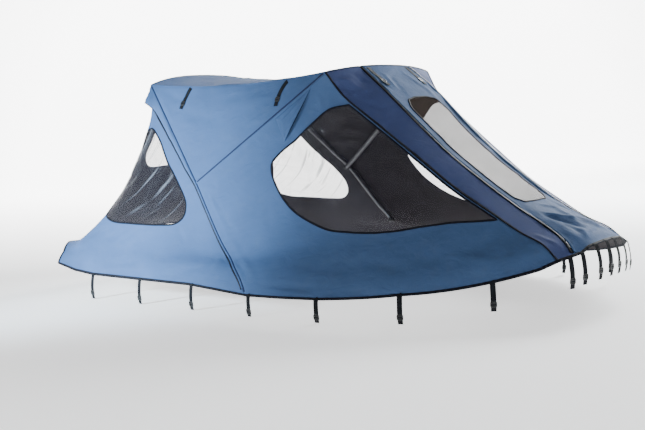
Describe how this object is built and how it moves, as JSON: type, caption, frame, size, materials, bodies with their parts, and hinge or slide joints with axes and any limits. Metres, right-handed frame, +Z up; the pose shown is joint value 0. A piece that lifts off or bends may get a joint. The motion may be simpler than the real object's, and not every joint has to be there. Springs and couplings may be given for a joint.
{
  "type": "boat canopy with hoop frame",
  "caption": "Tensioned cloth canopy for a small inflatable boat, drawn over a main hoop and a fore hoop, with clear windows, vents, zips and webbing straps along its hem.",
  "frame": {"origin": "on the centre line under the roof, at the height of the middles of the boat's side tubes, which hold the canopy up", "axes": "+X towards the bow, +Y to port, +Z up; symmetric about y = 0"},
  "size_m": [3.1698, 1.7516, 1.2222],
  "materials": {
    "cloth": "coated woven polyester, satin",
    "cloth_dark": "coated woven polyester, satin, seen in shade",
    "film": "clear flexible vinyl film",
    "trim": "dark binding, piping and zip tape",
    "webbing": "black webbing with a moulded buckle",
    "hoop": "satin anodised tube"
  },
  "bodies": {
    "root": {"aft_flap_port": "cloth", "aft_flap_starboard": "cloth", "aft_zip_port": "trim", "aft_zip_starboard": "trim", "bow_cheek_port": "cloth_dark", "bow_cheek_starboard": "cloth_dark", "fore_hoop": "hoop", "front_zip_port": "trim", "front_zip_starboard": "trim", "hem_binding": "trim", "hem_strap_01_port": "webbing", "hem_strap_01_starboard": "webbing", "hem_strap_02_port": "webbing", "hem_strap_02_starboard": "webbing", "hem_strap_03_port": "webbing", "hem_strap_03_starboard": "webbing", "hem_strap_04_port": "webbing", "hem_strap_04_starboard": "webbing", "hem_strap_05_port": "webbing", "hem_strap_05_starboard": "webbing", "hem_strap_06_port": "webbing", "hem_strap_06_starboard": "webbing", "hem_strap_07_port": "webbing", "hem_strap_07_starboard": "webbing", "hem_strap_08_port": "webbing", "hem_strap_08_starboard": "webbing", "hem_strap_09_port": "webbing", "hem_strap_09_starboard": "webbing", "hem_strap_10_port": "webbing", "hem_strap_10_starboard": "webbing", "hem_strap_11_port": "webbing", "hem_strap_11_starboard": "webbing", "lower_side_port": "cloth", "lower_side_starboard": "cloth", "main_hoop": "hoop", "rear_panel": "cloth", "rear_piping_port": "trim", "rear_piping_starboard": "trim", "rear_window_port": "film", "rear_window_starboard": "film", "roof_panel": "cloth", "roof_strap_aft_port": "webbing", "roof_strap_aft_starboard": "webbing", "roof_strap_front_port": "webbing", "roof_strap_front_starboard": "webbing", "roof_strap_mid_port": "webbing", "roof_strap_mid_starboard": "webbing", "seam_piping_port": "trim", "seam_piping_starboard": "trim", "side_piping_port": "trim", "side_piping_starboard": "trim", "side_window_port": "film", "side_window_starboard": "film", "upper_side_port": "cloth", "upper_side_starboard": "cloth", "vent_port": "cloth", "vent_starboard": "cloth", "windscreen_panel": "cloth_dark", "windscreen_piping": "trim", "windscreen_window": "film"}
  },
  "joints": []
}
